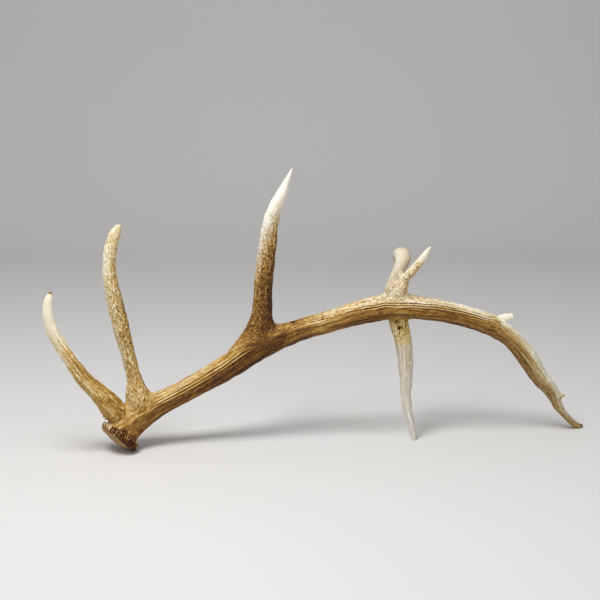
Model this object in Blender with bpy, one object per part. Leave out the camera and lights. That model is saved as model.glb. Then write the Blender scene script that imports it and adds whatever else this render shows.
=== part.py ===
"""A shed deer antler as it lies on a table, each branch a closed solid of its own.

+X runs from the burr to the tip of the main stem, +Y away from the viewer and +Z up. The table is z = 0, and the
origin is the middle of the footprint.
"""

import math

import bmesh
import bpy
import numpy
from mathutils import Matrix, Vector, noise

MM = 0.001

# The pieces part at the forks. The stem's own lengths keep GAP between them. A branch is cut to a copy of what it
# grows from, wider all round by ROOM, because the flat facets of two shapes never lie quite alike.
GAP = 0.0003
ROOM = 0.0011

# The surface: long ridges that wind slowly round, and small lumps all over. Both die out where a branch is thin.
RING_STEP = 0.011
STEM_SIDES = 18
TINE_SIDES = 12
PRONG_SIDES = 10
SPUR_SIDES = 8
RIDGES_ROUND = 6
RIDGE_TURN = 5
STEM_RIDGES = 0.0015
TINE_RIDGES = 0.0006
LUMP_HEIGHT = 0.0019
LUMP_SIZE = 0.012
SMOOTH_BELOW = 0.012

# The stations below are measured from a point a little off the middle of the footprint.
FOOTPRINT_MIDDLE = Vector((-0.00021, -0.00682, 0))

# The coronet is the knobbly ring round the burr. Its axis points up into the stem.
CORONET_CENTRE = Vector((-0.4420, -0.0600, 0.0315))
CORONET_AXIS = Vector((0.556, 0.412, 0.722)).normalized()
KNOB_HEIGHT = 0.0019
KNOBS_ROUND = 20
KNOB_ROWS = 0.00375
KNOBS_BEYOND = 0.0405

# The block below the table that cuts the antler's feet flat.
TABLE_BLOCK = (2.0, 1.0, 0.1)

# Each branch is a list of stations in millimetres: the middle of the section, then half its width as seen from
# the front and half its thickness from front to back.
STEM = (
    (-440, -58, 35, 37, 37),
    (-434, -51, 45, 36, 36),
    (-410, -36, 66, 33, 33),
    (-376, -27, 86.5, 28, 28),
    (-316, -18, 115.5, 24.5, 24.5),
    (-216, -8, 170, 27.5, 25.5),
    (-139, -1, 219, 29, 25),
    (-57, 5, 251, 24, 21),
    (8, 10, 269, 23.5, 21.5),
    (79, 16, 289, 26, 22),
    (148, 22, 299, 27.5, 22),
    (204, 28, 294, 25, 20.5),
    (288, 38, 277, 22.5, 20),
    (360, 47, 251, 22, 20),
    (395, 51, 230, 21, 19.5),
    (449, 60, 169, 21.5, 19.5),
    (474, 65, 129, 18.5, 17),
    (502, 70, 96, 16, 14),
    (525, 77, 52, 10, 9.5),
    (540, 83, 34, 8, 8.5),
    (557, 91, 16.5, 7, 8),
    (572, 98, 4.7, 6.5, 8),
    (582, 102, 4, 4, 5.5),
)
BROW_TINE = (
    (-430, -45, 52, 20, 20),
    (-444, -51, 72, 25, 24),
    (-457, -57, 96, 25, 24.5),
    (-483, -69, 133, 19.5, 19.5),
    (-508, -81, 164, 16.5, 16.5),
    (-541, -97, 223, 13, 13.5),
    (-568, -107, 281, 12, 12),
    (-573, -110, 311, 11, 11),
    (-573, -111, 334, 9.5, 9.5),
    (-568, -111, 351, 6.5, 6.5),
    (-565, -111, 359, 2.5, 2.5),
)
BEZ_TINE = (
    (-392, -33, 74, 18, 18),
    (-401, -32, 98, 29.5, 27),
    (-406, -33, 120, 25, 24),
    (-409.5, -35, 146, 18, 18),
    (-421.5, -42, 210, 15.5, 15.5),
    (-434, -47, 272, 18, 17),
    (-446, -50, 333, 16.5, 16.5),
    (-454, -50, 393, 14.5, 14.5),
    (-446, -47, 452, 12.5, 12.5),
    (-437, -45, 474, 10.5, 10.5),
    (-431, -45, 487, 5, 5),
)
TREZ_TINE = (
    (-203, -7, 183, 23, 21),
    (-167.5, -4, 223, 24, 23),
    (-144, -3, 262, 25.5, 23.5),
    (-137.5, -5, 295, 22, 21.5),
    (-136, -10, 327, 20.5, 20.5),
    (-131, -23, 388, 20, 20),
    (-124, -35, 445, 18.5, 18.5),
    (-115, -42, 503, 16, 16),
    (-91, -45, 560, 10, 10),
    (-80, -46, 586, 5, 5),
    (-73, -46, 605, 1.2, 1.2),
)
HANGING_TINE = (
    (150, 29, 298, 20, 18),
    (156, 34, 266, 21.5, 20),
    (167, 36, 225, 19, 19),
    (173, 34, 183, 17, 17),
    (175, 30, 140, 15, 15),
    (175, 25, 100, 11.5, 11.5),
    (178, 21, 70, 10.5, 10.5),
    (186, 17, 40, 8, 8.5),
    (194, 13, 5, 5, 6),
    (195.5, 12, -3, 4, 5),
)
CURLED_PRONG = (
    (138, 26, 306, 12, 12),
    (140, 26, 332, 13, 13),
    (146, 29, 356, 12, 12.5),
    (157, 34, 379, 12, 13.5),
    (164, 43, 397, 13.5, 16.5),
    (163, 60, 406, 15, 18),
    (160, 80, 399, 12, 15.5),
    (162, 96, 378, 8, 10),
    (168, 104, 356, 3, 3.5),
)
THIN_PRONG = (
    (154, 18, 310, 19, 13),
    (157, 17, 338, 13.5, 12.5),
    (165, 15, 356, 10.5, 10.5),
    (182, 11, 379, 9.5, 9.5),
    (200, 8, 401, 8.5, 8.5),
    (212, 6, 421, 5.5, 5.5),
    (220, 5, 433, 1.2, 1.2),
)
BROKEN_STUB = (
    (356, 48, 247, 16, 15),
    (378, 53, 259, 12, 12),
    (392, 58, 264, 10, 10),
    (409, 64, 267, 8.5, 8.5),
)
SPUR = (
    (507, 70, 84, 10.5, 10.5),
    (518, 71, 85, 9, 9),
    (529, 71, 84.5, 5.5, 5.5),
    (536, 72, 83.5, 1.5, 1.5),
)

# The stem is parted at its two main forks, given as places in its list of stations.
TREZ_FORK = 6
CROWN_FORK = 10


def clear_scene():
    for item in list(bpy.data.objects):
        bpy.data.objects.remove(item, do_unlink=True)


def horn_material(name, colour, roughness):
    material = bpy.data.materials.new(name)
    material.use_nodes = True
    shader = material.node_tree.nodes["Principled BSDF"]
    shader.inputs["Base Color"].default_value = (*colour, 1.0)
    shader.inputs["Roughness"].default_value = roughness
    shader.inputs["Metallic"].default_value = 0.0
    return material


def distances(stations):
    """How far along the branch each station lies, in metres."""
    middles = numpy.array(stations, float)[:, :3] * MM
    return numpy.concatenate([[0.0], numpy.cumsum(numpy.linalg.norm(numpy.diff(middles, axis=0), axis=1))])


def sections(stations, start, end):
    """Rows of x, y, z, half width and half thickness on the smooth curve through the stations, and its directions."""
    points = numpy.array(stations, float) * MM
    knots = distances(stations)
    slopes = numpy.gradient(points, knots, axis=0)
    count = max(3, round((end - start) / RING_STEP) + 1)
    along = numpy.linspace(start, end, count)
    span = numpy.clip(numpy.searchsorted(knots, along, side="right") - 1, 0, len(knots) - 2)
    length = numpy.diff(knots)[span][:, None]
    t = (along[:, None] - knots[span][:, None]) / length
    rows = (2 * t**3 - 3 * t**2 + 1) * points[span] + (3 * t**2 - 2 * t**3) * points[span + 1]
    rows += length * ((t**3 - 2 * t**2 + t) * slopes[span] + (t**3 - t**2) * slopes[span + 1])
    heading = (6 * t - 6 * t**2) * (points[span + 1] - points[span]) / length
    heading += (3 * t**2 - 4 * t + 1) * slopes[span] + (3 * t**2 - 2 * t) * slopes[span + 1]
    return along, rows, [Vector(row[:3]).normalized() for row in heading]


def ridged(angle, along, height):
    """How much further out a point of the section lies, for ridges that wind slowly along the branch."""
    return height * math.cos(RIDGES_ROUND * angle + RIDGE_TURN * along)


def lumpy(point, height):
    """The pearling: small lumps that stand further out at some points than at others."""
    return height * noise.noise(point / LUMP_SIZE)


def add_section(mesh, middle, tangent, across, row, sides):
    """One closed ring of the branch, with its width across the view and its thickness along `across`."""
    thick = (across - across.dot(tangent) * tangent).normalized()
    wide = thick.cross(tangent)
    place = Matrix.Identity(4)
    place.col[0] = (*(wide * row[3]), 0)
    place.col[1] = (*(thick * row[4]), 0)
    place.col[2] = (*tangent, 0)
    place.col[3] = (*middle, 1)
    ring = bmesh.ops.create_circle(mesh, segments=sides, radius=1, matrix=place)["verts"]
    return ring, list({edge for vertex in ring for edge in vertex.link_edges})


def branch_mesh(stations, sides, start=0.0, end=None, across=(0, 1, 0), ridges=0.0, grow=0.0):
    """A closed tube along the stations from `start` to `end`, `grow` wider all round than the branch itself."""
    end = distances(stations)[-1] if end is None else end
    mesh = bmesh.new()
    last_edges = None
    for place, row, heading in zip(*sections(stations, start, end)):
        middle = Vector(row[:3])
        row[3:] += grow
        ring, edges = add_section(mesh, middle, heading, Vector(across), row, sides)
        fade = min(1.0, row[3] / SMOOTH_BELOW)
        for j, vertex in enumerate(ring):
            outward = (vertex.co - middle).normalized()
            swell = ridged(2 * math.pi * j / sides, place, ridges * fade)
            vertex.co += outward * (swell + lumpy(vertex.co, LUMP_HEIGHT * fade))
        if last_edges:
            bmesh.ops.bridge_loops(mesh, edges=last_edges + edges)
        last_edges = edges
    bmesh.ops.holes_fill(mesh, edges=mesh.edges, sides=0)
    bmesh.ops.recalc_face_normals(mesh, faces=mesh.faces)
    return mesh


def coronet_mesh(grow=0.0):
    """The burr's pale convex seal, turned with the rows of knobs that stand round it, `grow` bigger all round."""
    profile = (
        (-10.5, 0),
        (-9.5, 19),
        (-7.5, 31),
        (-9, 35),
        (-7.5, 40.5),
        (-3, 45),
        (2, 43),
        (6.5, 44),
        (11, 38),
        (12, 32),
        (12.5, 0),
    )
    mesh = bmesh.new()
    points = []
    for axial, radius in profile:
        out = grow if radius else 0
        points.append(mesh.verts.new((radius * MM + out, 0, axial * MM + math.copysign(grow, axial))))
    edges = [mesh.edges.new(pair) for pair in zip(points, points[1:])]
    steps = 2 * KNOBS_ROUND
    bmesh.ops.spin(
        mesh, geom=points + edges, axis=(0, 0, 1), cent=(0, 0, 0), angle=2 * math.pi, steps=steps, use_merge=True
    )
    bmesh.ops.remove_doubles(mesh, verts=mesh.verts, dist=0.00001)
    for vertex in mesh.verts:
        radius = vertex.co.to_2d().length
        if radius < KNOBS_BEYOND:
            continue
        step = round(math.atan2(vertex.co.y, vertex.co.x) / (math.pi / KNOBS_ROUND))
        row = round(vertex.co.z / KNOB_ROWS)
        side = 1 if (step + row) % 2 else -1
        vertex.co.xy *= 1 + side * KNOB_HEIGHT / radius
        vertex.co += lumpy(vertex.co, 2 * LUMP_HEIGHT) * vertex.co.normalized()
    bmesh.ops.recalc_face_normals(mesh, faces=mesh.faces)
    turn = CORONET_AXIS.to_track_quat("Z", "Y").to_matrix().to_4x4()
    mesh.transform(Matrix.Translation(CORONET_CENTRE) @ turn)
    return mesh


def add_object(name, mesh, material=None):
    data = bpy.data.meshes.new(name)
    mesh.to_mesh(data)
    mesh.free()
    data.shade_smooth()
    if material:
        data.materials.append(material)
    made = bpy.data.objects.new(name, data)
    bpy.context.scene.collection.objects.link(made)
    return made


def add_helper(name, mesh):
    """A shape that only takes part in joins and cuts."""
    helper = add_object(name, mesh)
    helper.hide_render = True
    helper.display_type = "WIRE"
    return helper


def boolean(target, other, operation):
    modifier = target.modifiers.new(f"{operation} {other.name}", "BOOLEAN")
    modifier.operation = operation
    modifier.solver = "EXACT"
    modifier.use_self = operation == "DIFFERENCE"
    modifier.object = other


def table_cutter():
    """Everything below the table, which leaves small flats where the antler bears on it."""
    mesh = bmesh.new()
    lowered = Matrix.Translation((0, 0, -TABLE_BLOCK[2] / 2))
    bmesh.ops.create_cube(mesh, size=1, matrix=lowered @ Matrix.Diagonal((*TABLE_BLOCK, 1)))
    block = add_helper("below_table", mesh)
    block.data.shade_flat()
    return block


def build_stem(table):
    """The main stem in three lengths, the first with the coronet and the last with the stub and the spur."""
    knots = distances(STEM)
    forks = (0.0, knots[TREZ_FORK], knots[CROWN_FORK], knots[-1])
    bark = horn_material("stem bark", (0.36, 0.22, 0.10), 0.6)
    pale_bark = horn_material("pale stem bark", (0.62, 0.50, 0.32), 0.55)
    pieces = []
    for i, (name, material) in enumerate(
        (("beam_lower", bark), ("beam_middle", bark), ("beam_upper", pale_bark))
    ):
        start = forks[i] + (GAP / 2 if i else 0)
        end = forks[i + 1] - (GAP / 2 if i < 2 else 0)
        pieces.append(add_object(name, branch_mesh(STEM, STEM_SIDES, start, end, ridges=STEM_RIDGES), material))
    lower, _, upper = pieces
    boolean(lower, add_helper("coronet", coronet_mesh()), "UNION")
    boolean(upper, add_helper("broken_stub", branch_mesh(BROKEN_STUB, PRONG_SIDES)), "UNION")
    boolean(upper, add_helper("spur", branch_mesh(SPUR, SPUR_SIDES)), "UNION")
    boolean(lower, table, "DIFFERENCE")
    boolean(upper, table, "DIFFERENCE")


def build_branches(table):
    """The tines and prongs, each cut to the stem and to its neighbour with a thin gap between."""
    pearled = horn_material("pearled tine", (0.42, 0.29, 0.14), 0.6)
    ivory = horn_material("ivory tine", (0.80, 0.72, 0.55), 0.45)
    stem_room = add_helper("stem_room", branch_mesh(STEM, STEM_SIDES, ridges=STEM_RIDGES, grow=ROOM))
    coronet_room = add_helper("coronet_room", coronet_mesh(grow=ROOM))
    brow_room = add_helper("brow_room", branch_mesh(BROW_TINE, TINE_SIDES, ridges=TINE_RIDGES, grow=ROOM))
    thin_room = add_helper("thin_room", branch_mesh(THIN_PRONG, PRONG_SIDES, grow=ROOM))
    from_front, from_side = (0, 1, 0), (1, 0, 0)
    plan = (
        ("brow_tine", BROW_TINE, TINE_SIDES, from_front, TINE_RIDGES, pearled, coronet_room),
        ("bez_tine", BEZ_TINE, TINE_SIDES, from_front, TINE_RIDGES, pearled, brow_room),
        ("trez_tine", TREZ_TINE, TINE_SIDES, from_front, TINE_RIDGES, pearled, None),
        ("hanging_tine", HANGING_TINE, TINE_SIDES, from_front, TINE_RIDGES, ivory, table),
        ("curled_prong", CURLED_PRONG, PRONG_SIDES, from_side, 0.0, ivory, thin_room),
        ("thin_prong", THIN_PRONG, PRONG_SIDES, from_front, 0.0, ivory, None),
    )
    for name, stations, sides, across, ridges, material, other in plan:
        piece = add_object(name, branch_mesh(stations, sides, across=across, ridges=ridges), material)
        boolean(piece, stem_room, "DIFFERENCE")
        if other:
            boolean(piece, other, "DIFFERENCE")


clear_scene()
below_table = table_cutter()
build_stem(below_table)
build_branches(below_table)
antler = bpy.data.objects.new("deer_antler", None)
bpy.context.scene.collection.objects.link(antler)
antler.location = -FOOTPRINT_MIDDLE
for part in bpy.data.objects:
    if part is not antler:
        part.parent = antler
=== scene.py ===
# %% [markdown]
# # A shed deer antler
#
# An antler is one piece of bone that grew under furry skin. Everything on its surface tells of that: long
# grooves where blood vessels ran, small pearls between them, a knobbly ring at the burr, and ends that were
# rubbed smooth and pale. The model that this script loads has the right sizes and forks, but its branches are
# separate solids with plain faces. The script turns them into one skin, carves that skin, and colours it.
#
# The first lines load the model. Every node comes in at its real place, in metres.

# %% Load the model
import heapq
import math

import bmesh
import bpy
import numpy as np
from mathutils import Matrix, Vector, kdtree, noise
from mathutils.bvhtree import BVHTree


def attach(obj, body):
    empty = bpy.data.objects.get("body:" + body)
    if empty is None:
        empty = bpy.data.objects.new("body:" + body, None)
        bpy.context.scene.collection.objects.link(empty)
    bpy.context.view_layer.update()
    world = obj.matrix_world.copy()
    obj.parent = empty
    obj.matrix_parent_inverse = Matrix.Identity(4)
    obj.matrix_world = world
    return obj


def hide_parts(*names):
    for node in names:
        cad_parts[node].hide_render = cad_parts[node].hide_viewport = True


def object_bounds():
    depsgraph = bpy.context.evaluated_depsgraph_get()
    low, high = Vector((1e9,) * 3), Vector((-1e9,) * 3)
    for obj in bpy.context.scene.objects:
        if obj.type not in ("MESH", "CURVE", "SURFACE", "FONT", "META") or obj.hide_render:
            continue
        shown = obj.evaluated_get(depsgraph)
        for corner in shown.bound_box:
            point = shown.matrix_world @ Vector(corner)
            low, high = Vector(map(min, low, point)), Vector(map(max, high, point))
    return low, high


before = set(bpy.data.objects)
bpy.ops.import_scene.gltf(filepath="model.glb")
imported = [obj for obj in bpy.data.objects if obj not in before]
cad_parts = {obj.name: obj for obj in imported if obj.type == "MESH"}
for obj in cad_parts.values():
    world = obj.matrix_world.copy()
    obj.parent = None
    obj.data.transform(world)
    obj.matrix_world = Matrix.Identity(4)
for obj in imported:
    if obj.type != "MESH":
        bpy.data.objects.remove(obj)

MM = 0.001
cad_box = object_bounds()
print("nodes:", ", ".join(sorted(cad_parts)))

# %% [markdown]
# ## The camera
#
# A long lens from a little above, as the antler was photographed. The antler is more than a metre long, so
# the camera stands 2.6 m away: nearer, the brow tine would look too big for the rest.

# %% Camera
AIM = Vector((-0.0567, -0.0342, 0.3270))
DISTANCE = 2.6
ELEVATION = math.radians(12.5)
LENS_MM = 74.3
SENSOR_MM = 36


def added(name, data):
    """A new object in the scene, made of a mesh, a light or a camera."""
    thing = bpy.data.objects.new(name, data)
    bpy.context.scene.collection.objects.link(thing)
    return thing


look = Vector((0, math.cos(ELEVATION), -math.sin(ELEVATION)))
camera_data = bpy.data.cameras.new("camera")
camera_data.lens = LENS_MM
camera_data.sensor_width = SENSOR_MM
camera = added("camera", camera_data)
camera.location = AIM - DISTANCE * look
camera.rotation_euler = look.to_track_quat("-Z", "Y").to_euler()
bpy.context.scene.camera = camera
print("camera at", tuple(round(value, 3) for value in camera.location))

# %% [markdown]
# ## Reading the branches
#
# Grooves run along a branch and rings go round it, so every point of the skin has to know which branch it is
# on, how far it is from that branch's tip and where it stands round the section. A hand-drawn curve down each
# branch would do, but the model can be measured instead. First its loose triangles are merged into closed
# shapes. The stem comes in three lengths with a hair's gap between them, which a slightly wider merge closes.
# The cut faces at the gaps are then inside the stem and are taken out.

# %% Merge the loose triangles
STEM_NODES = ("beam_lower", "beam_middle", "beam_upper")
TOUCHING = 0.00001
STEM_GAP = 0.0005


def merged(*names, within=TOUCHING):
    """A copy of one or more nodes as a single shape, with corners closer than `within` made one."""
    shape = bmesh.new()
    for name in names:
        shape.from_mesh(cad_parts[name].data)
    bmesh.ops.remove_doubles(shape, verts=shape.verts, dist=within)
    inside = [face for face in shape.faces if not any(vertex.is_manifold for vertex in face.verts)]
    bmesh.ops.delete(shape, geom=inside, context="FACES_ONLY")
    shape.verts.index_update()
    shape.normal_update()
    return shape


stem_shape = merged(*STEM_NODES, within=STEM_GAP)
stem_surface = BVHTree.FromBMesh(stem_shape)
print("the stem has", len(stem_shape.verts), "corners")

# %% [markdown]
# The nodes have flat facets up to two centimetres long, and bone has none. The corners of a facet lie on the
# real surface, and their normals say how it curves between them. So the edges are divided and the new corners
# are bowed out to that curve. Edges that end at a sharp rim stay straight, or the cut ends and the feet would
# swell.

# %% Bow the facets out
SHARP = math.radians(50)
BOWS = 2


def bowed(shape):
    """The shape with its soft edges halved twice, each new corner lying on the curve between the old ones."""
    for _ in range(BOWS):
        rims = [edge for edge in shape.edges if not edge.is_manifold or edge.calc_face_angle() > SHARP]
        at_rim = {vertex for edge in rims for vertex in edge.verts}
        soft = [edge for edge in shape.edges if not at_rim.intersection(edge.verts)]
        curved = {"smooth": 1.0, "smooth_falloff": "LINEAR", "use_grid_fill": True}
        bmesh.ops.subdivide_edges(shape, edges=soft, cuts=1, **curved)
        shape.normal_update()
    return shape


# %% [markdown]
# Walking out from a branch's tip along the edges of its mesh gives every corner a distance from the tip, also
# on a prong that curls back on itself. All corners at one distance make a slice, and the slice's middle is a
# point of the branch's middle line. This is the shortest-path search that a route planner uses.

# %% Measure how far each corner is from the tip
def walked(shape, start):
    """The shortest way along the edges from the corner `start` to every corner, in metres."""
    shape.verts.ensure_lookup_table()
    far = np.full(len(shape.verts), np.inf)
    far[start] = 0.0
    queue = [(0.0, start)]
    while queue:
        distance, index = heapq.heappop(queue)
        if distance > far[index]:
            continue
        for edge in shape.verts[index].link_edges:
            other = edge.other_vert(shape.verts[index]).index
            reached = distance + edge.calc_length()
            if reached < far[other]:
                far[other] = reached
                heapq.heappush(queue, (reached, other))
    return far


stem_tip = max(stem_shape.verts, key=lambda vertex: vertex.co.x).index
print(f"the stem's furthest corner is {walked(stem_shape, stem_tip).max():.3f} m from its tip")

# %% [markdown]
# A slice that takes in part of a neighbouring spur or knob would have its middle drawn off the branch. So
# corners count by the patch of surface round them, because a spur has many corners but little surface. The
# line is also measured several times, and corners that stand much further from it than the others are left
# out of the next mean. Where a tine meets the stem its slices are cut askew, so the line stops there and goes
# on straight.

# %% Find the middle line of a branch
SLICE_STEP = 0.008
SLICE_WIDTH = 0.013
STRAY = 1.25
PASSES = 6
SEAM_REACH = 0.0016
ROOT_LENGTH = 0.035
LINE_STEP = 0.001
LINE_SPAN = 15


def softened(rows, width):
    """Each column's running mean over `width` rows, with the ends held."""
    held = np.pad(rows, ((width // 2, width // 2), (0, 0)), mode="edge")
    sums = np.cumsum(np.vstack([np.zeros(rows.shape[1]), held]), axis=0)
    return (sums[width:] - sums[:-width]) / width


def slices(shape, far, last):
    """The middle and the mean radius of every slice, the slices standing evenly from the tip on."""
    places = np.array([vertex.co for vertex in shape.verts])
    patch = np.array([sum(face.calc_area() for face in vertex.link_faces) for vertex in shape.verts])
    weights = patch * np.clip(1 - abs(far - np.arange(0, last, SLICE_STEP)[:, None]) / SLICE_WIDTH, 0, None)
    used = weights
    for _ in range(PASSES):
        middles = softened(used @ places / used.sum(1, keepdims=True), 3)
        reach = np.linalg.norm(places - middles[:, None], axis=2)
        radii = softened((used * reach).sum(1, keepdims=True) / used.sum(1, keepdims=True), 5)
        used = weights * (reach < STRAY * radii) + 1e-6 * weights
    middles[0] = places[np.argmin(far)]
    return middles, radii[:, 0]


def middle_line(shape, toward, stop):
    """Points each millimetre down a branch's middle from its tip, with their directions and radii."""
    reach = [vertex.co.dot(Vector(toward)) for vertex in shape.verts]
    far = walked(shape, int(np.argmax(reach)))
    middles, radii = slices(shape, far, stop(far))
    root = middles[-1] - middles[-5]
    middles = np.vstack([middles, middles[-1] + ROOT_LENGTH * root / np.linalg.norm(root)])
    radii = np.append(radii, radii[-1])
    lengths = np.concatenate([[0.0], np.cumsum(np.linalg.norm(np.diff(middles, axis=0), axis=1))])
    along = np.arange(0.0, lengths[-1], LINE_STEP)
    line = np.stack([np.interp(along, lengths, middles[:, i]) for i in range(3)], axis=1)
    line = softened(softened(line, LINE_SPAN), LINE_SPAN)
    heading = np.gradient(line, axis=0)
    heading /= np.linalg.norm(heading, axis=1)[:, None]
    front = np.array((0.0, -1.0, 0.0)) + heading[:, 1:2] * heading
    front /= np.linalg.norm(front, axis=1)[:, None]
    frames = np.stack([front, np.cross(heading, front), heading], axis=1)
    return {"line": line, "frame": frames, "left": along, "radius": np.interp(along, lengths, radii)}


# %% [markdown]
# Each branch is named with the direction in which its tip lies furthest out. The stem's line ends short of
# the burr, because the wide ring there would widen its last slices. Patterns are to run on from the stem into
# a tine, so each tine also gets the shift that makes its coordinates agree with the stem's at the fork. Its
# surface is kept without the cut end, which is not a part of the outside.

# %% Measure all the branches
TIPS = {
    "brow_tine": (0, 0, 1),
    "bez_tine": (0, 0, 1),
    "trez_tine": (0, 0, 1),
    "hanging_tine": (0, 0, -1),
    "curled_prong": (0, 1, -1),
    "thin_prong": (1, 0, 1),
}
BURR_LENGTH = 0.075

branches = {"stem": middle_line(stem_shape, (1, 0, 0), lambda far: far.max() - BURR_LENGTH)}
branches["stem"]["shift"] = np.zeros(3)
surfaces = {"stem": BVHTree.FromBMesh(bowed(stem_shape))}
stem_shape.free()
seams = {}
for name, toward in TIPS.items():
    shape = merged(name)
    at_seam = np.array([stem_surface.find_nearest(vertex.co)[3] < SEAM_REACH for vertex in shape.verts])
    branch = branches[name] = middle_line(shape, toward, lambda far: far[at_seam].min())
    root = branch["line"][-int(ROOT_LENGTH / LINE_STEP)]
    stem = branches["stem"]
    at_stem = np.argmin(np.linalg.norm(stem["line"] - root, axis=1))
    branch["shift"] = stem["frame"][at_stem] @ (root - stem["line"][at_stem])
    branch["shift"][2] += stem["left"][at_stem] - branch["left"][-1] + ROOT_LENGTH
    seams[name] = [vertex.co.copy() for vertex, near in zip(shape.verts, at_seam) if near]
    cut_end = [face for face in shape.faces if all(at_seam[vertex.index] for vertex in face.verts)]
    bmesh.ops.delete(shape, geom=cut_end, context="FACES")
    surfaces[name] = BVHTree.FromBMesh(bowed(shape))
    shape.free()
for name, branch in branches.items():
    print(f"{name}: {branch['left'][-1]:.3f} m, {2 * branch['radius'].max():.3f} m thick")
print(sum(map(len, seams.values())), "corners lie on the forks")

# %% [markdown]
# ## One skin
#
# A real antler has no seams. The nodes are grown by half a millimetre so that neighbours overlap, joined, and
# given one new surface by a voxel remesh, which keeps only the outside. The skin is then drawn back in by the
# same half millimetre. Voxels of 1.3 mm are fine enough for grooves that are about 5 mm apart. Where two
# nodes only just meet, the remesh can leave a tiny bubble inside. The walk along the edges never reaches it,
# so it is found and taken out.

# %% Wrap the nodes in one skin
OVERLAP = 0.0005
VOXEL = 0.0013


def mesh_of(shape, name):
    mesh = bpy.data.meshes.new(name)
    shape.to_mesh(mesh)
    shape.free()
    return mesh


def apply_modifiers(piece):
    """Makes what the modifiers give the piece's own mesh."""
    evaluated = piece.evaluated_get(bpy.context.evaluated_depsgraph_get())
    piece.data = bpy.data.meshes.new_from_object(evaluated)
    piece.modifiers.clear()


def wrapped(names):
    """One object whose mesh is the outside of all the nodes."""
    joined = bmesh.new()
    for name in names:
        piece = bowed(merged(name))
        for vertex in piece.verts:
            vertex.co += vertex.normal * OVERLAP
        grown = mesh_of(piece, "grown")
        joined.from_mesh(grown)
        bpy.data.meshes.remove(grown)
    whole = added("antler", mesh_of(joined, "antler"))
    remesh = whole.modifiers.new("voxels", "REMESH")
    remesh.mode = "VOXEL"
    remesh.voxel_size = VOXEL
    apply_modifiers(whole)
    return whole


def drop_bubbles(mesh):
    """Takes out what doesn't hang together with the mesh's furthest point to the right."""
    shape = bmesh.new()
    shape.from_mesh(mesh)
    tip = max(shape.verts, key=lambda vertex: vertex.co.x).index
    unreached = np.nonzero(np.isinf(walked(shape, tip)))[0]
    bmesh.ops.delete(shape, geom=[shape.verts[index] for index in unreached], context="VERTS")
    shape.to_mesh(mesh)
    shape.free()
    return len(unreached)


antler = wrapped(sorted(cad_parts))
dropped = drop_bubbles(antler.data)
print("the skin has", len(antler.data.vertices), "points;", dropped, "points of bubbles were dropped")

# %% [markdown]
# The whole skin fits in a few arrays: where each point is, which way it faces, and which points are
# neighbours. Working on arrays does in a second what a loop over the points does in minutes.

# %% Hold the skin as arrays
def read_points(mesh, what):
    values = np.empty(3 * len(mesh.vertices))
    mesh.vertices.foreach_get(what, values)
    return values.reshape(-1, 3)


def write_points(mesh, places):
    mesh.vertices.foreach_set("co", places.ravel())
    mesh.update()


def neighbour_pairs(mesh):
    pairs = np.empty(2 * len(mesh.edges), dtype=np.int64)
    mesh.edges.foreach_get("vertices", pairs)
    return pairs.reshape(-1, 2)


skin = antler.data
places = read_points(skin, "co") - OVERLAP * read_points(skin, "normal")
pairs = neighbour_pairs(skin)
print(len(places), "points in", len(pairs), "pairs of neighbours")

# %% [markdown]
# ## Ironing out the facets
#
# Traces of the facets and of the voxels still show. Drawing every point towards the mean of its neighbours
# irons them out, but it also shrinks thin tips. The cure is to push the points back out a little more
# strongly after each pull: small bumps vanish and the bulk stays.

# %% Iron the skin
IRON_ROUNDS = 10
PULL = 0.5
PUSH = -0.53


def pulled(places, pairs, strength):
    """The points moved towards the mean of their neighbours by a share of the way."""
    mean = np.empty_like(places)
    for i in range(3):
        mean[:, i] = np.bincount(pairs[:, 0], places[pairs[:, 1], i], len(places))
        mean[:, i] += np.bincount(pairs[:, 1], places[pairs[:, 0], i], len(places))
    mean /= np.maximum(np.bincount(pairs.ravel(), minlength=len(places)), 1)[:, None]
    return places + strength * (mean - places)


unironed = places
for _ in range(IRON_ROUNDS):
    places = pulled(pulled(places, pairs, PULL), pairs, PUSH)
print(f"ironing moved the points by up to {np.linalg.norm(places - unironed, axis=1).max() / MM:.2f} mm")

# %% [markdown]
# At a fork of a real antler the bone fills the crease with a soft web. Each point near a fork has two
# distances, one to either branch. A soft minimum of the two is zero on a surface that follows both branches
# and rounds the crease between them, so the points are moved out to that surface. Where the branches run
# smoothly into one another there is no crease to fill, and the web's width goes to nothing. Evening out the
# moves among neighbours takes away the small jumps where the nearest spot changes from one facet to the next.

# %% Web the forks
WEBS = (
    ("stem", "brow_tine", 0.012),
    ("stem", "bez_tine", 0.018),
    ("stem", "trez_tine", 0.030),
    ("stem", "hanging_tine", 0.010),
    ("stem", "curled_prong", 0.018),
    ("stem", "thin_prong", 0.026),
    ("brow_tine", "bez_tine", 0.010),
    ("curled_prong", "thin_prong", 0.010),
)
NEARLY_ON = 0.001
STEPS = 5
SOFT_ROUNDS = 16
BURR_MIDDLE = np.array((-0.4418, -0.0532, 0.0315))
BURR_AXIS = np.array(Vector((0.556, 0.412, 0.722)).normalized())


def nearest(places, points):
    """For each place, the number of the nearest of some points, and how far off that point is."""
    tree = kdtree.KDTree(len(points))
    for number, point in enumerate(points):
        tree.insert(point, number)
    tree.balance()
    found = np.array([tree.find(place)[1:] for place in places.tolist()])
    return found[:, 0].astype(int), found[:, 1]


def fade(values, start, end):
    """0 at `start` and 1 at `end`, in either order, with soft ends."""
    t = np.clip((values - start) / (end - start), 0, 1)
    return t * t * (3 - 2 * t)


def outside(place, surface):
    """How far outside a surface a point is (less than 0 inside it), the way out, and the normal there."""
    found, normal, _, distance = surface.find_nearest(place)
    if distance < NEARLY_ON:
        return (place - found).dot(normal), normal, normal
    away = (place - found) / distance
    if away.dot(normal) < -0.9:
        return -distance, -away, normal
    return distance, away, normal


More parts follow.
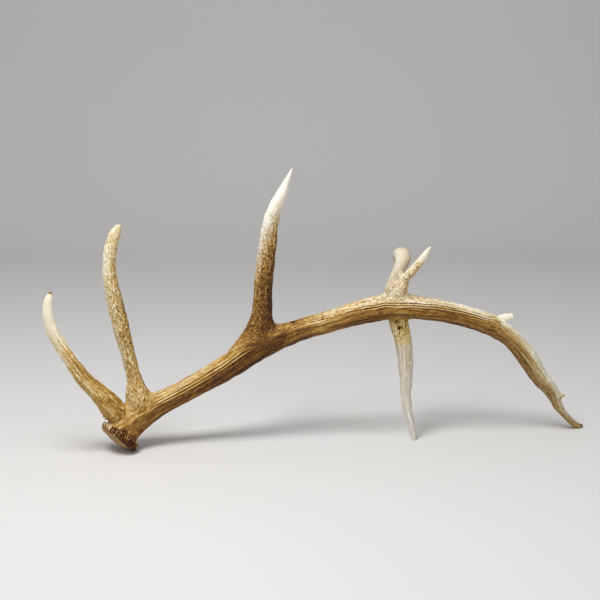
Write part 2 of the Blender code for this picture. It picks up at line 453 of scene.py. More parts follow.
def webbed(place, first, second, width):
    """The point moved out to the soft web between two surfaces."""
    start = None
    for _ in range(STEPS):
        a, from_a, normal_a = outside(place, first)
        b, from_b, normal_b = outside(place, second)
        start = min(a, b) if start is None else start
        reach = width * min(1.0, 1.0 - normal_a.dot(normal_b))
        if abs(a - b) >= reach:
            break
        overlap = 1 - abs(a - b) / reach
        too_low = reach * overlap * overlap / 4 + start - min(a, b)
        share = overlap / 2 if a < b else 1 - overlap / 2
        slope = from_a.lerp(from_b, share)
        place = place + slope * (too_low / max(slope.length_squared, 0.2))
    return place


before = places.copy()
above_burr = fade((places - BURR_MIDDLE) @ BURR_AXIS, 0.010, 0.026)
for first, second, width in WEBS:
    seam = seams[second if first == "stem" else first]
    near_fork = (nearest(places, seam)[1] < 1.6 * width + 0.01) & (above_burr > 0.01)
    for index in np.nonzero(near_fork)[0]:
        place = Vector(places[index])
        places[index] = webbed(place, surfaces[first], surfaces[second], width * above_burr[index])
    print(first, "and", second, "share", int(near_fork.sum()), "points")

moved = places - before
for _ in range(SOFT_ROUNDS):
    moved = pulled(moved, pairs, PULL)
places = before + moved
print(f"the webs rise up to {np.linalg.norm(moved, axis=1).max() / MM:.1f} mm")

# %% [markdown]
# The stub and the spur are part of the stem's own shape, so their creases are filled in another way: the
# ironing pull again, but a point may only move outwards. In a crease the neighbours' mean lies outside the
# skin, on a ridge it lies inside, so creases fill and nothing gets thinner.

# %% Fill the creases at stub and spur
CREASES = (((0.374, 0.058, 0.256), 0.022), ((0.508, 0.077, 0.101), 0.020))
FILL_ROUNDS = 500
NORMALS_EVERY = 25


def fill(places, share, rounds):
    """Fills the creases among the points that have a share in it."""
    taking_part = np.nonzero(share > 0.01)[0]
    number = np.full(len(places), -1)
    number[taking_part] = np.arange(len(taking_part))
    both_ways = np.vstack([pairs, pairs[:, ::-1]])
    both_ways = both_ways[number[both_ways[:, 0]] >= 0]
    owner, other = number[both_ways[:, 0]], both_ways[:, 1]
    degree = np.bincount(owner, minlength=len(taking_part))
    for turn in range(rounds):
        if turn % NORMALS_EVERY == 0:
            write_points(skin, places)
            normals = read_points(skin, "normal")[taking_part]
        sums = [np.bincount(owner, places[other, i], len(taking_part)) for i in range(3)]
        pull = PULL * (np.stack(sums, axis=1) / degree[:, None] - places[taking_part])
        outward = np.maximum((pull * normals).sum(1), 0)
        places[taking_part] += (share[taking_part] * outward)[:, None] * normals


in_crease = np.zeros(len(places))
for middle, reach in CREASES:
    in_crease = np.maximum(in_crease, fade(np.linalg.norm(places - middle, axis=1), reach, 0.4 * reach))
fill(places, in_crease, FILL_ROUNDS)
print("points in the creases:", int((in_crease > 0.5).sum()))

# %% [markdown]
# The outline still waves a little where the model's stations stand, and the webs have faint steps. Both go
# when the skin is treated as a springy sheet: it resists bending, while a soft pull holds every point to its
# old place. The balance of the two is one large set of linear equations, which conjugate gradients solve in a
# hundred rounds. The pull decides how long a wave has to be to stay. It is weak on the thick branches and
# strong at thin tips, at the burr, at stub and spur, and at the feet, which keep their shape.

# %% Even out the outline
EVEN_LENGTH = 0.024
FINE_LENGTH = 0.007
LENGTH_TO_RADIUS = 2.2
SHEET_ROUNDS = 100
HELD_AT_BURR = (0.078, 0.052)
HELD_AT_FEET = (0.010, 0.004)


def bending(values):
    """How far each point's values are from its neighbours', summed and divided by four."""
    result = np.empty_like(values)
    for i in range(3):
        steps = values[pairs[:, 0], i] - values[pairs[:, 1], i]
        result[:, i] = np.bincount(pairs[:, 0], steps, len(values))
        result[:, i] -= np.bincount(pairs[:, 1], steps, len(values))
    return result / 4


def evened(places, hold, rounds):
    """The places at which the sheet's resistance to bending balances its pull to where it was."""
    places = places.copy()
    left_over = -bending(bending(places))
    direction = left_over.copy()
    size = (left_over**2).sum()
    for _ in range(rounds):
        answer = hold * direction + bending(bending(direction))
        step = size / (direction * answer).sum()
        places += step * direction
        left_over -= step * answer
        size, before = (left_over**2).sum(), size
        direction = left_over + size / before * direction
    return places


lines = np.vstack([branch["line"] for branch in branches.values()])
radii = np.concatenate([branch["radius"] for branch in branches.values()])
wave = np.minimum(EVEN_LENGTH, LENGTH_TO_RADIUS * radii[nearest(places, lines)[0]])
kept = fade(np.linalg.norm(places - BURR_MIDDLE, axis=1), *HELD_AT_BURR)
kept = np.maximum(kept, fade(places[:, 2], *HELD_AT_FEET))
for middle, reach in CREASES:
    kept = np.maximum(kept, fade(np.linalg.norm(places - middle, axis=1), 2.7 * reach, 2.0 * reach))
wave += kept * (FINE_LENGTH - wave)
hold = (math.pi * VOXEL / wave)[:, None] ** 4
evener = evened(places, hold, SHEET_ROUNDS)
print(f"points moved by up to {np.linalg.norm(evener - places, axis=1).max() / MM:.1f} mm")
places = evener

# %% [markdown]
# ## Coordinates that follow the growth
#
# Now every point of the skin is laid out along its branch: how far it is from the tip, and where it stands
# across the section. Near a fork a point belongs partly to both branches, and the two answers are mixed by
# how far the point lies outside each. Patterns drawn in the mixed coordinates sweep from the stem into the
# tine, as the grooves of a real antler do. Each branch also keeps its own answers unmixed, for the tones that
# belong to it alone.

# %% Lay the skin out along its branches
BLEND = 0.006
FAR_OFF = 0.06
NOT_NEAR = 9.0


def laid_out(places, branch):
    """For each point near the branch: its number, its gap, its place across and along, and the radius."""
    low, high = branch["line"].min(0) - FAR_OFF, branch["line"].max(0) + FAR_OFF
    near = np.nonzero(((places > low) & (places < high)).all(1))[0]
    closest, _ = nearest(places[near], branch["line"])
    offset = places[near] - branch["line"][closest]
    radius = branch["radius"][closest]
    gap = np.linalg.norm(offset, axis=1) - radius
    across = np.einsum("nij,nj->ni", branch["frame"][closest], offset)
    across[:, 2] += branch["left"][closest]
    return near, gap, across, radius


count = len(places)
shares = {}
grain = np.zeros((count, 3))
total = np.zeros(count)
for name, branch in branches.items():
    near, gap, across, radius = laid_out(places, branch)
    share = np.exp(-np.clip(gap, -0.01, 0.05) / BLEND)
    shares[name] = np.zeros(count)
    shares[name][near] = share
    grain[near] += share[:, None] * (across + branch["shift"])
    total[near] += share
    branch["to_tip"] = np.full(count, NOT_NEAR)
    branch["to_tip"][near] = across[:, 2]
    branch["side"] = np.zeros(count)
    branch["side"][near] = across[:, 1] / np.maximum(radius, MM)
grain /= total[:, None]
shares = {name: share / total for name, share in shares.items()}
print("each point's grain runs along one of", len(shares), "branches")

# %% [markdown]
# ## How light the bone is
#
# Fresh antler is stained dark brown by bark and blood. Where it is rubbed it turns golden, then cream, then
# ivory. So one number says nearly everything about a spot's colour: its tone, from 0 for the darkest brown to
# 1 for ivory. Each tine has a ladder of stations read off the photographed antler: how far from the tip, the
# tone in the middle of its face, how much lighter its left side is, and how strongly it is speckled. The
# lighter left side is partly the bone's own colour and partly painted light from the left.

# %% Say how light each tine is
LADDERS = {
    "brow_tine": (
        (0.000, 0.36, 0.00, 0.00),
        (0.0015, 0.44, 0.00, 0.00),
        (0.004, 0.97, 0.00, 0.01),
        (0.07, 0.94, 0.00, 0.02),
        (0.12, 0.80, 0.06, 0.08),
        (0.17, 0.66, 0.08, 0.09),
        (0.22, 0.59, 0.06, 0.08),
        (0.36, 0.54, 0.02, 0.06),
    ),
    "bez_tine": (
        (0.00, 0.86, 0.06, 0.07),
        (0.03, 0.81, 0.10, 0.14),
        (0.10, 0.83, 0.16, 0.16),
        (0.16, 0.74, 0.16, 0.19),
        (0.22, 0.66, 0.15, 0.20),
        (0.30, 0.67, 0.10, 0.16),
        (0.43, 0.61, 0.06, 0.11),
    ),
    "trez_tine": (
        (0.00, 0.97, 0.00, 0.01),
        (0.06, 0.96, 0.03, 0.02),
        (0.09, 0.89, 0.12, 0.06),
        (0.12, 0.79, 0.24, 0.14),
        (0.175, 0.58, 0.30, 0.19),
        (0.23, 0.43, 0.25, 0.20),
        (0.30, 0.27, 0.16, 0.17),
        (0.38, 0.26, 0.13, 0.14),
    ),
    "hanging_tine": (
        (0.00, 0.82, 0.00, 0.01),
        (0.12, 0.74, 0.00, 0.02),
        (0.224, 0.72, 0.00, 0.05),
        (0.236, 0.74, 0.00, 0.16),
        (0.30, 0.73, 0.00, 0.16),
    ),
    "curled_prong": (
        (0.00, 0.78, 0.00, 0.01),
        (0.12, 0.74, 0.04, 0.03),
        (0.17, 0.70, 0.06, 0.10),
    ),
    "thin_prong": (
        (0.00, 0.97, 0.00, 0.01),
        (0.03, 0.91, 0.04, 0.05),
        (0.05, 0.76, 0.16, 0.15),
        (0.16, 0.76, 0.08, 0.13),
    ),
}

tone = np.zeros(count)
speckled = np.zeros(count)
for name, ladder in LADDERS.items():
    distance, middle_tone, one_sided, specks = np.array(ladder).T
    to_tip = branches[name]["to_tip"]
    # the lighter left side is partly painted light from the left
    lighter = np.interp(to_tip, distance, one_sided) * np.clip(branches[name]["side"], -1, 1)
    tone += shares[name] * (np.interp(to_tip, distance, middle_tone) + lighter)
    speckled += shares[name] * np.interp(to_tip, distance, specks)
print("points on the tines:", int((shares["stem"] < 0.5).sum()))

# %% [markdown]
# The stem has a pale upper side, a brown underside, and a sharp arris that parts the two along the side that
# faces the viewer. The step between them is partly the bone's own colour and partly painted light on top and
# painted shade below, and the underside gets darker still further down, which is painted shade too. Its
# ladder gives the distance to the stem's tip, the tones above and below the arris, how high the arris runs
# (in radii above the middle line), and how speckled the upper side is. Four tenths of the step from the lower
# tone to the upper one come right at the arris, the rest on the rounding above it. A second ladder says how
# clearly the arris shows: well at the crown, not at all at the trez fork and near the tip.

# %% Say how light the stem is
STEM_LADDER = (
    (0.000, 0.20, 0.16, 0.10, 0.00),
    (0.003, 0.26, 0.20, 0.10, 0.00),
    (0.007, 0.64, 0.52, 0.10, 0.02),
    (0.05, 0.75, 0.59, 0.10, 0.03),
    (0.12, 0.82, 0.56, 0.10, 0.04),
    (0.20, 0.84, 0.53, 0.18, 0.05),
    (0.30, 0.86, 0.48, 0.30, 0.05),
    (0.36, 0.87, 0.43, 0.37, 0.05),
    (0.39, 0.87, 0.42, 0.43, 0.06),
    (0.417, 0.86, 0.41, 0.41, 0.08),
    (0.454, 0.83, 0.40, 0.33, 0.10),
    (0.485, 0.81, 0.40, 0.29, 0.11),
    (0.52, 0.78, 0.39, 0.20, 0.12),
    (0.563, 0.76, 0.39, 0.05, 0.13),
    (0.60, 0.76, 0.39, 0.18, 0.13),
    (0.636, 0.75, 0.39, 0.30, 0.13),
    (0.70, 0.70, 0.42, 0.31, 0.13),
    (0.738, 0.64, 0.42, 0.19, 0.12),
    (0.78, 0.48, 0.30, 0.18, 0.08),
    (0.86, 0.44, 0.20, 0.22, 0.07),
    (0.91, 0.53, 0.22, 0.21, 0.06),
    (0.958, 0.60, 0.27, 0.19, 0.05),
    (1.013, 0.63, 0.30, 0.15, 0.05),
    (1.074, 0.62, 0.33, 0.13, 0.05),
    (1.20, 0.60, 0.38, 0.12, 0.05),
    (1.28, 0.56, 0.40, 0.12, 0.05),
)

CLEAR_ARRIS = (
    (0.22, 0.0),
    (0.38, 0.9),
    (0.60, 1.0),
    (0.66, 0.5),
    (0.79, 0.4),
    (0.83, 0.0),
    (0.86, 0.0),
    (0.94, 0.8),
    (1.11, 0.7),
    (1.17, 0.0),
)

ARRIS_STEP = 0.40
# painted shade: the underside darkens further below the arris
UNDER_SHADE = 0.12

to_end = branches["stem"]["to_tip"]
ladder = np.array(STEM_LADDER).T
above, below, arris_height, specks = (np.interp(to_end, ladder[0], column) for column in ladder[1:])


def noise_along(size, stretch, shift=0.0):
    """Noise between about -1 and 1 with patches `size` wide, drawn out along the branch."""
    squeezed = grain * np.array((1, 1, stretch)) / size + shift
    return np.array([noise.noise(point) for point in squeezed.tolist()])


over_arris = branches["stem"]["side"] - arris_height + 0.04 * noise_along(0.030, 0.10, shift=5.7)
is_above = ARRIS_STEP * fade(over_arris, -0.04, 0.04) + (1 - ARRIS_STEP) * fade(over_arris, 0.05, 0.65)
# the step from below to above is partly painted light and shade; UNDER_SHADE adds painted shade low on the
# underside
stem_tone = below + (above - below) * is_above - UNDER_SHADE * fade(over_arris, -0.4, -1.2)
tone += shares["stem"] * stem_tone
speckled += shares["stem"] * (0.03 + (specks - 0.03) * fade(over_arris, 0.0, 0.35))
clear = np.interp(to_end, *np.array(CLEAR_ARRIS).T)
lined = clear * fade(shares["stem"], 0.60, 0.90) * fade(grain[:, 0], 0.002, 0.010)
print("the arris runs over", int((lined * (abs(over_arris) < 0.05) > 0.5).sum()), "points")

# %% [markdown]
# A few spots stand by themselves: the pale stub, its rough broken end, the notch under the spur, a pit at the
# fork of the long tine and three at the root of the tine that hangs down.

# %% Shade single spots
SPOTS = (
    ((0.396, 0.060, 0.266), 0.032, -0.25),
    ((0.415, 0.072, 0.268), 0.006, 0.35),
    ((0.523, 0.071, 0.078), 0.006, 0.32),
    ((-0.072, 0.003, 0.270), 0.007, 0.35),
    ((0.151, 0.021, 0.267), 0.005, 0.45),
    ((0.157, 0.021, 0.253), 0.007, 0.55),
    ((0.174, 0.024, 0.260), 0.005, 0.40),
)

for place, reach, darker in SPOTS:
    tone -= darker * fade(np.linalg.norm(places - place, axis=1), reach, 0.3 * reach)
print("single spots:", len(SPOTS))

# %% [markdown]
# ## Carving
#
# Long grooves run along the branches, with pearls on the tines and on the upper stem. Both come from noise
# that is squeezed across the branch and stretched along it. Noise is better than evenly spaced waves here,
# because real grooves split, merge and end. Only the few ridges next to the arris run evenly beside it. Right
# in a fork no direction rules, so the grooves give way to pearls there.

# %% Carve grooves and pearls
SWELL_SIZE, SWELL_STRETCH, SWELL_HEIGHT = 0.014, 0.10, 0.0005
GROOVE_SIZE, GROOVE_STRETCH, GROOVE_HEIGHT = 0.0036, 0.035, 0.0011
PEARL_SIZE, PEARL_STRETCH, PEARL_HEIGHT = 0.0042, 0.6, 0.0032
PEARL_REACH = 0.62
RIDGE_SPACING = 0.20
RIDGE_HEIGHT = 0.0009
GROOVE_TONE = 0.24
PEARL_TONE = 0.6
GROOVED = {
    "stem": 1.0,
    "brow_tine": 1.0,
    "bez_tine": 0.5,
    "trez_tine": 0.4,
    "hanging_tine": 0.6,
    "curled_prong": 0.2,
}


def pearls(size, stretch):
    """1 on top of each round pearl, 0 between them."""
    squeezed = grain * np.array((1, 1, stretch)) / size
    distance = np.array([noise.voronoi(point)[0][0] for point in squeezed.tolist()])
    return np.clip(1 - (distance / PEARL_REACH) ** 2, 0, 1)


rubbed = fade(tone, 0.82, 0.95) * (1 - shares["stem"])
mixed = fade(np.max(list(shares.values()), axis=0), 0.92, 0.60)
grooved = sum(shares[name] * amount for name, amount in GROOVED.items()) * (1 - rubbed)
grooved *= 1 - 0.5 * mixed
grooved *= 1 - 0.55 * shares["stem"] * fade(over_arris, 0.25, 0.60) * fade(speckled, 0.05, 0.10)
speckled = speckled + 0.04 * mixed * (1 - rubbed)
swell = noise_along(SWELL_SIZE, SWELL_STRETCH)
groove = noise_along(GROOVE_SIZE, GROOVE_STRETCH, shift=7.3)
pearl = pearls(PEARL_SIZE, PEARL_STRETCH)
beside = lined * fade(over_arris, -0.12, -0.03) * fade(over_arris, 0.48, 0.30)
ridges = np.cos(2 * math.pi * over_arris / RIDGE_SPACING) * beside
tone += GROOVE_TONE * grooved * groove + PEARL_TONE * speckled * (pearl - 0.45)
print("grooves from", round(groove.min(), 2), "to", round(groove.max(), 2))

# %% [markdown]
# ## The burr
#
# The ring at the burr is a crown of small teeth that run from the stem down to the pale seal, broken up into
# knobs where blood vessels passed between them. It is carved from the angle round the burr's own axis. The
# side away from the brow tine is darker, with reddish brown between the knobs. The lip round the seal is a
# little darker too, which is painted shade on the ring's lower rim. The seal itself, where the antler came
# off the skull, bulges out slightly. On the dark side the knobs reach further over it.

# %% Carve the burr
TEETH = 52
TOOTH_HEIGHT = 0.0028
KNOB_HEIGHT = 0.0050
KNOB_SIZE = 0.011
GRIT_SIZE = 0.005
SEAL_DOME = 0.0045
SEAL_RADIUS = 0.0400
OVER_SEAL = 0.007
BURR_REACH = 0.062

offset = places - BURR_MIDDLE
axial = offset @ BURR_AXIS
radial = offset - axial[:, None] * BURR_AXIS
burr_reach = np.linalg.norm(radial, axis=1)
first = np.cross(BURR_AXIS, (0.0, 0.0, 1.0))
first /= np.linalg.norm(first)
angle = np.arctan2(radial @ np.cross(BURR_AXIS, first), radial @ first)
near_burr = np.linalg.norm(offset, axis=1) < BURR_REACH
dark_side = fade(offset[:, 0], -0.022, 0.018)
past_seal = burr_reach - SEAL_RADIUS + OVER_SEAL * fade(offset[:, 0], -0.010, 0.030)
ring = near_burr * fade(axial, 0.018, 0.011) * fade(past_seal, -0.0015, 0.0010)
seal = near_burr * fade(axial, -0.002, -0.005) * fade(past_seal, 0.0003, -0.0012)
knob = np.array([noise.noise(point) for point in (offset / KNOB_SIZE).tolist()])
grit = np.array([noise.noise(point) for point in (offset / GRIT_SIZE).tolist()])
teeth = np.cos(TEETH * angle + 3.0 * knob + 1.2 * grit)
lip = fade(axial, 0.003, -0.003)
rough = TOOTH_HEIGHT * (0.5 * teeth - 0.4) + KNOB_HEIGHT * (knob + 0.4 * grit - 0.1)
dome = SEAL_DOME * np.clip(1 - (burr_reach / SEAL_RADIUS) ** 2, 0, 1) * near_burr * fade(axial, 0.004, 0.0)
burr_height = ring * rough * (1 - 0.5 * lip) + dome
# 0.14 * lip darkens the rim next to the seal as painted shade
burr_tone = 0.52 - 0.34 * dark_side + 0.32 * teeth + 0.30 * grit + 0.15 * knob - 0.14 * lip
tone = np.clip(tone * (1 - ring) + burr_tone * ring, 0, 1)
print("points in the ring:", int((ring > 0.5).sum()), "in the seal:", int((seal > 0.5).sum()))

# %% [markdown]
# All the heights are added up and the points are moved along their normals. In the ring's creases the normals
# cross, which leaves a few thorns, so the ring is ironed for some more rounds. The feet stay flat on the
# table, so nothing may go below it.

# %% Move the points
THORN_ROUNDS = 4

off_burr = 1 - np.clip(ring + seal, 0, 1)
height = burr_height + off_burr * (
    SWELL_HEIGHT * swell * (0.3 + 0.7 * grooved)
    + GROOVE_HEIGHT * (groove - 0.1) * grooved
    + PEARL_HEIGHT * (pearl - 0.5) * speckled
    + RIDGE_HEIGHT * ridges
)


def kept_in_box(places):
    """The same points, with none outside the box of the solids."""
    return np.clip(places, *np.array(cad_box))


write_points(skin, places)
places = places + read_points(skin, "normal") * height[:, None]
for _ in range(THORN_ROUNDS):
    ironed = pulled(pulled(places, pairs, PULL), pairs, PUSH)
    places += ring[:, None] * (ironed - places)
places = kept_in_box(places)
write_points(skin, places)
print(f"relief from {height.min() / MM:.2f} to {height.max() / MM:.2f} mm")

# %% [markdown]
# The finish needs to know the same things as the carving, so they are kept on the mesh as attributes: the
# grain coordinates, the tone, and the masks. Two more say how the colour differs at the same tone: the stem's
# end is more olive, and the pale parts that sun and rubbing have bleached are greyer. The root of the hanging
# tine, which the stem shades, has kept its olive stain.

# %% Keep the masks on the mesh
BLEACHED = {
    "stem": 0.25,
    "trez_tine": 0.35,
    "bez_tine": 0.12,
    "hanging_tine": 0.75,
    "curled_prong": 0.55,
    "thin_prong": 0.25,
}
OLIVES = {"bez_tine": 0.3, "hanging_tine": 0.45, "curled_prong": 0.4, "thin_prong": 0.3}


def keep(name, values):
    kind = "FLOAT_VECTOR" if values.ndim == 2 else "FLOAT"
    attribute = skin.attributes.new(name, kind, "POINT")
    attribute.data.foreach_set("vector" if kind == "FLOAT_VECTOR" else "value", values.ravel())


olive = shares["stem"] * (0.2 * fade(to_end, 0.75, 0.45) + 0.8 * fade(to_end, 0.40, 0.12))
olive += sum(OLIVES[name] * shares[name] for name in OLIVES)
bleached = sum(BLEACHED[name] * shares[name] for name in BLEACHED) * fade(tone, 0.50, 0.80)
bleached += 0.22 * shares["stem"] * fade(to_end, 0.40, 0.12)
stained = shares["hanging_tine"] * fade(branches["hanging_tine"]["to_tip"], 0.205, 0.235)
bleached *= 1 - stained
olive += 0.5 * stained
keep("grain", grain)
keep("tone", tone)
keep("speckled", speckled * off_burr)
keep("grooved", grooved * off_burr)
keep("over_arris", over_arris)
keep("lined", lined)
keep("olive", np.clip(olive, 0, 1))
keep("bleached", np.clip(bleached, 0, 1))
keep("ring", ring)
keep("seal", seal)
print("attributes:", ", ".join(sorted(skin.attributes.keys())))

# %% [markdown]
# The carved skin has far more triangles than its smooth stretches need. Decimate merges points where the
# surface is nearly flat and keeps them at the grooves and pearls.

# %% Thin out the flat stretches
MOST_TRIANGLES = 190000

triangles = 2 * len(skin.polygons)
thinning = antler.modifiers.new("thinning", "DECIMATE")
thinning.ratio = min(1.0, MOST_TRIANGLES / triangles)
apply_modifiers(antler)
write_points(antler.data, kept_in_box(read_points(antler.data, "co")))
antler.data.shade_smooth()
print("from", triangles, "to", len(antler.data.polygons), "faces")

# %% [markdown]
# ## Writing shaders as sums
#
# A finish is a graph of nodes, but most of it is arithmetic. The small class below wraps a socket so that an
# ordinary expression such as `1 - mask` adds the Math node it stands for. Every other node comes from one
# method, which sets the node's settings before its inputs, because some settings change which sockets there
# are.

# %% Shader helpers
class Value:
    """A number that varies over the surface."""

    def __init__(self, finish, socket):
        self.finish = finish
        self.socket = socket

    def math(self, operation, first, second):
        return self.finish.node("ShaderNodeMath", {"operation": operation}, {0: first, 1: second})

    def __add__(self, other):
        return self.math("ADD", self, other)

    def __sub__(self, other):
        return self.math("SUBTRACT", self, other)

    def __mul__(self, other):
        return self.math("MULTIPLY", self, other)

    def __rsub__(self, other):
        return self.math("SUBTRACT", other, self)

    def cosine(self):
        return self.finish.node("ShaderNodeMath", {"operation": "COSINE"}, {0: self})

    __radd__ = __add__
    __rmul__ = __mul__


class Finish:
    """A material and the nodes that feed its shader."""

    def __init__(self, name):
        self.material = bpy.data.materials.new(name)
        self.material.use_nodes = True
        self.tree = self.material.node_tree
        self.shader = self.tree.nodes["Principled BSDF"]

    def node(self, kind, settings=None, inputs=None, output=0):
        """Adds a node. The settings come first. Inputs are numbers, colours or Values, by name or place."""
        made = self.tree.nodes.new(kind)
        for key, value in (settings or {}).items():
            if key == "stops":
                self.set_stops(made.color_ramp, value)
            else:
                setattr(made, key, value)
        for key, value in (inputs or {}).items():
            self.feed(made.inputs[key], value)
        return Value(self, made.outputs[output])

    def feed(self, socket, value):
        if isinstance(value, Value):
            self.tree.links.new(value.socket, socket)
        else:
            socket.default_value = value

    def set_stops(self, ramp, stops):
        """Stops are pairs of a place and a colour, or of a place and a level of grey."""
        while len(ramp.elements) < len(stops):
            ramp.elements.new(1.0)
        for element, (place, level) in zip(ramp.elements, stops):
            element.position = place
            element.color = level if isinstance(level, tuple) else (level, level, level, 1)

    def attribute(self, name, output="Fac"):
        return self.node("ShaderNodeAttribute", {"attribute_name": name}, output=output)

    def mix(self, share, first, second, blend="MIX"):
        """A colour between two others, or the first tinted by the second."""
        settings = {"data_type": "RGBA", "blend_type": blend}
        return self.node("ShaderNodeMix", settings, {0: share, 6: first, 7: second}, output=2)

    def ramp(self, value, *stops):
        return self.node("ShaderNodeValToRGB", {"stops": stops}, {0: value})


# %% [markdown]
# ## The antler's finish
#
# The finish turns the tone into a colour with one ladder from dark brown to ivory. Before that it adds what
# is too fine for the mesh: specks, streaks, small pits and the thin lines beside the arris, all drawn in the
# grain coordinates, so that they follow the growth. The pale crests of those lines are partly the bone's own
# colour and partly painted highlight. The colour is then tinted olive or turned grey where the masks say so.
# The same patterns feed a bump, because a dark speck is a hollow.

# %% The antler's finish
def on_screen(red, green, blue):
    """A colour as it looks on screen, from 0 to 255, made linear for the shader."""
    levels = [(value / 255 + 0.055) / 1.055 for value in (red, green, blue)]
    return (*(level**2.4 for level in levels), 1)


TONES = (
    (0.0, on_screen(46, 22, 8)),
    (0.15, on_screen(78, 44, 16)),
    (0.3, on_screen(114, 76, 30)),
    (0.45, on_screen(152, 112, 50)),
    (0.6, on_screen(192, 154, 82)),
    (0.75, on_screen(222, 195, 136)),
    (0.88, on_screen(238, 224, 190)),
    (1.0, on_screen(248, 242, 226)),
)
OLIVE = on_screen(224, 230, 192)
SEAL_LIGHT = on_screen(186, 154, 110)
SEAL_DARK = on_screen(132, 104, 66)
RED_BROWN = on_screen(74, 30, 14)
LUMINANCE = (0.25, 0.70, 0.07)


def along_grain(finish, stretch):
    """The grain coordinates, squeezed lengthwise, which stretches what is drawn in them along the branch."""
    inputs = {0: finish.attribute("grain", "Vector"), 1: (1, 1, stretch)}
    return finish.node("ShaderNodeVectorMath", {"operation": "MULTIPLY"}, inputs)


def stretched(finish, scale, stretch, detail):
    """Noise drawn out along the branch, from about -0.5 to 0.5."""
    inputs = {"Vector": along_grain(finish, stretch), "Scale": scale, "Detail": detail, "Roughness": 0.6}
    return finish.node("ShaderNodeTexNoise", None, inputs) - 0.5


def hollows(finish, scale, stretch):
    """1 in small round hollows, 0 between them."""
    inputs = {"Vector": along_grain(finish, stretch), "Scale": scale}
    return finish.ramp(finish.node("ShaderNodeTexVoronoi", None, inputs), (0.12, 1.0), (0.30, 0.0))


def antler_finish():
    finish = Finish("antler")
    speckled = finish.attribute("speckled")
    grooved = finish.attribute("grooved")
    ring = finish.attribute("ring")
    over_arris = finish.attribute("over_arris")
    specks = finish.ramp(stretched(finish, 470, 0.36, 2) + 0.5, (0.36, 0.0), (0.64, 1.0)) - 0.5
    streaks = stretched(finish, 520, 0.05, 3)
    bands = stretched(finish, 230, 0.03, 2)
    flecks = stretched(finish, 300, 0.30, 2)
    grains = stretched(finish, 850, 0.3, 2)
    patches = stretched(finish, 45, 0.3, 2)
    pits = hollows(finish, 210, 0.4) * finish.ramp(speckled, (0.05, 0.0), (0.13, 1.0))
    beside = finish.ramp(over_arris + 0.5, (0.40, 0.0), (0.46, 1.0), (0.78, 1.0), (0.96, 0.0))
    lines = (over_arris * (2 * math.pi / RIDGE_SPACING)).cosine() * beside * finish.attribute("lined")

    tone = finish.attribute("tone") + 2.6 * speckled * specks + 0.45 * grooved * streaks + 0.16 * grains
    # the pale crests of the lines beside the arris are partly painted highlight
    tone = tone + 0.20 * patches + grooved * (0.30 * bands + 0.50 * flecks) - 0.34 * pits + 0.34 * lines
    colour = finish.ramp(tone, *TONES)
    colour = finish.mix(0.6 * finish.attribute("olive"), colour, OLIVE, blend="MULTIPLY")
    seen = {0: colour, 1: LUMINANCE}
    grey = finish.node("ShaderNodeVectorMath", {"operation": "DOT_PRODUCT"}, seen, output=1)
    colour = finish.mix(finish.attribute("bleached"), colour, grey)
    redness = ring * finish.ramp(tone, (0.20, 1.0), (0.62, 0.0))
    colour = finish.mix(0.8 * redness, colour, RED_BROWN)
    seal_colour = finish.mix(0.5 + 1.6 * patches + grains, SEAL_LIGHT, SEAL_DARK)
    colour = finish.mix(finish.attribute("seal"), colour, seal_colour)
    finish.feed(finish.shader.inputs["Base Color"], colour)

    finish.feed(finish.shader.inputs["Roughness"], finish.ramp(tone, (0.7, 0.62), (1.0, 0.40)))
    height = 4.0 * speckled * specks + 1.2 * grooved * (streaks + bands) + 0.5 * grains
    height = height + 0.35 * lines - 0.5 * pits
    relief = {"Height": height, "Distance": 0.001, "Strength": 0.7}
    finish.feed(finish.shader.inputs["Normal"], finish.node("ShaderNodeBump", None, relief))
    finish.shader.inputs["Specular IOR Level"].default_value = 0.2
    return finish.material


antler.data.materials.clear()
antler.data.materials.append(antler_finish())
print("finish nodes:", len(antler.data.materials[0].node_tree.nodes))

# %% [markdown]
# ## The stage
#
# A pale sweep of paper: a floor that curves up into a wall behind the antler, so that no horizon line shows.

# %% Floor
FLOOR_FRONT = -3.0
FLOOR_BACK = 2.2
FLOOR_WIDTH = 10.0
WALL_HEIGHT = 3.0
BEND_RADIUS = 0.9
BEND_STEPS = 12


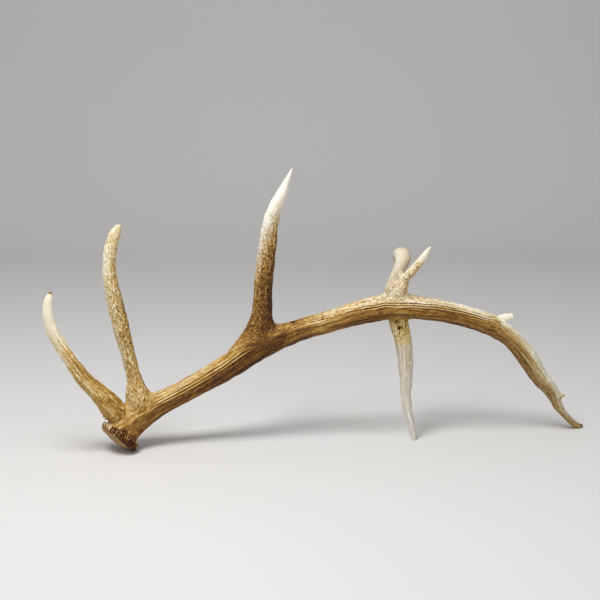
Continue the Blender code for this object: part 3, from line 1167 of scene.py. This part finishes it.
def pale_sweep():
    """The outline of floor, bend and wall, swept from left to right."""
    outline = [(FLOOR_FRONT, 0.0)]
    for step in range(BEND_STEPS + 1):
        turn = math.radians(90 * step / BEND_STEPS)
        depth = FLOOR_BACK + BEND_RADIUS * math.sin(turn)
        outline.append((depth, BEND_RADIUS * (1 - math.cos(turn))))
    outline.append((FLOOR_BACK + BEND_RADIUS, WALL_HEIGHT))
    sweep = bmesh.new()
    points = [sweep.verts.new((-FLOOR_WIDTH / 2, y, z)) for y, z in outline]
    edges = [sweep.edges.new(pair) for pair in zip(points, points[1:])]
    made = bmesh.ops.extrude_edge_only(sweep, edges=edges)["geom"]
    moved = [item for item in made if isinstance(item, bmesh.types.BMVert)]
    bmesh.ops.translate(sweep, verts=moved, vec=(FLOOR_WIDTH, 0, 0))
    mesh = mesh_of(sweep, "floor")
    mesh.shade_smooth()
    return mesh


floor = added("floor", pale_sweep())
floor_finish = Finish("pale floor")
floor_finish.shader.inputs["Base Color"].default_value = (0.68, 0.67, 0.66, 1)
floor_finish.shader.inputs["Roughness"].default_value = 0.85
floor.data.materials.append(floor_finish.material)
print("floor made")

# %% [markdown]
# ## Light
#
# One large soft light above, in front and to the left, a weaker one from the right, and a pale sky to fill
# the shadows. The plain view transform shows the colours as they were picked.

# %% Light
def soft_light(name, place, size, watts):
    data = bpy.data.lights.new(name, "AREA")
    data.shape = "DISK"
    data.size = size
    data.energy = watts
    light = added(name, data)
    light.location = place
    light.rotation_euler = (AIM - place).to_track_quat("-Z", "Y").to_euler()


soft_light("above", Vector((-0.7, -0.9, 2.4)), 1.1, 54)
soft_light("right", Vector((1.9, -1.4, 1.3)), 1.2, 8)
world = bpy.data.worlds.new("pale room")
world.use_nodes = True
world.node_tree.nodes["Background"].inputs["Color"].default_value = (1.0, 0.99, 0.98, 1)
world.node_tree.nodes["Background"].inputs["Strength"].default_value = 0.40
bpy.context.scene.world = world
bpy.context.scene.view_settings.view_transform = "Standard"
print("lights:", ", ".join(light.name for light in bpy.data.lights))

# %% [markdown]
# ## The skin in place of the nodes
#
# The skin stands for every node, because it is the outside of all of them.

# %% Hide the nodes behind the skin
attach(antler, "root")
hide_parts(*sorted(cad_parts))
print("the skin replaces", len(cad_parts), "nodes")
